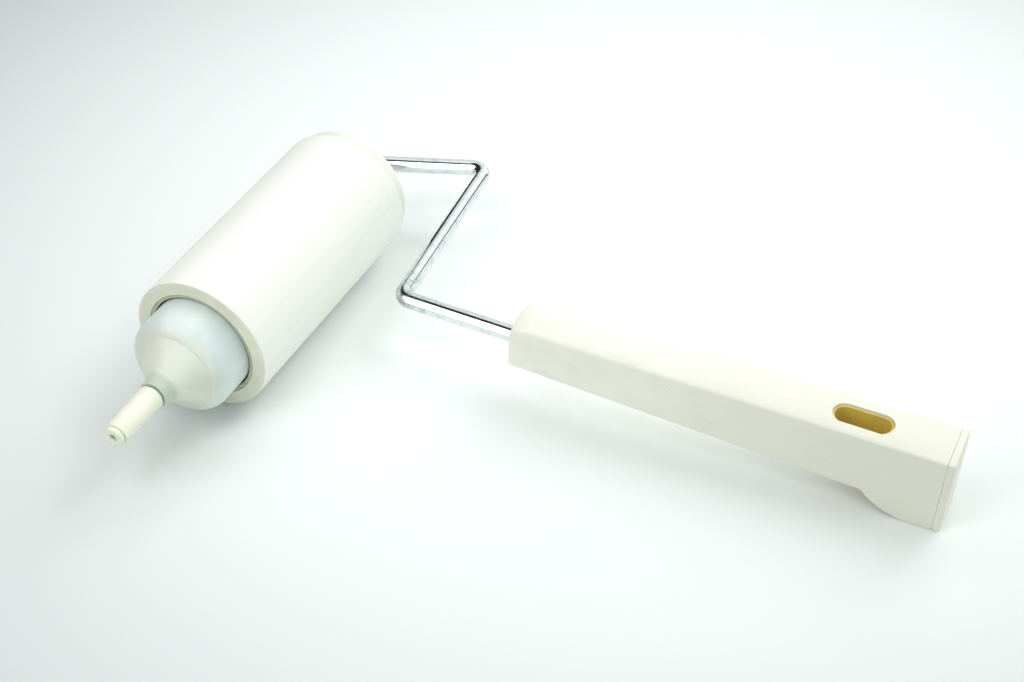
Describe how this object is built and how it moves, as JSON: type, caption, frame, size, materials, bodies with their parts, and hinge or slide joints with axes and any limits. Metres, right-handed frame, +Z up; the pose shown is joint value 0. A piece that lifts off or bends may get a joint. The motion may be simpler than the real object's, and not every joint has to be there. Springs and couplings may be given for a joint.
{
  "type": "lint roller",
  "caption": "Hand lint roller: a sticky paper refill spinning on a bent chrome wire frame, with a hollow tapered handle and a hang hole.",
  "frame": {"origin": "the middle of the footprint on the table, under the roller and handle lying at rest", "axes": "+Z up; +X from the roller towards the handle; the roller spins about Y, its nose towards -Y"},
  "size_m": [0.2856, 0.1956, 0.0535],
  "materials": {
    "sticky_paper": "white coated sticky paper, wound",
    "card": "grey-brown spiral-wound card",
    "frosted_pp": "frosted natural polypropylene, translucent",
    "cream_flange": "satin white polypropylene",
    "bearing_pom": "natural acetal, smooth",
    "steel_washer": "plain stamped steel",
    "chrome_wire": "chromium-plated steel wire, lightly pitted",
    "cream_nose": "cream moulded plastic, satin",
    "cream_abs": "cream ABS, satin moulded",
    "yellow_liner": "dull yellow moulded plastic",
    "insert_plastic": "natural moulded plastic"
  },
  "bodies": {
    "frame": {"wire_frame": "chrome_wire", "nose_tube": "cream_nose", "nose_plug": "cream_nose", "front_washer": "steel_washer", "rear_washer": "steel_washer", "stop_collar": "chrome_wire", "handle_shell": "cream_abs", "handle_end_cap": "cream_abs", "hang_hole_liner": "yellow_liner", "shank_insert": "insert_plastic", "shank_pin": "steel_washer"},
    "core": {"roller_core": "frosted_pp", "flange_plug": "cream_flange", "front_bush": "bearing_pom", "rear_bush": "bearing_pom"},
    "refill": {"paper_roll": "sticky_paper", "card_tube": "card"}
  },
  "joints": [
    {"name": "roller_spin", "type": "hinge", "parent": "frame", "child": "core", "pos_m": [-0.11603, 0.00539, 0.02675], "axis": [0, 1, 0], "continuous": true},
    {"name": "refill_slide", "type": "slide", "parent": "core", "child": "refill", "axis": [0, -1, 0], "range_m": [0, 0.16]}
  ]
}
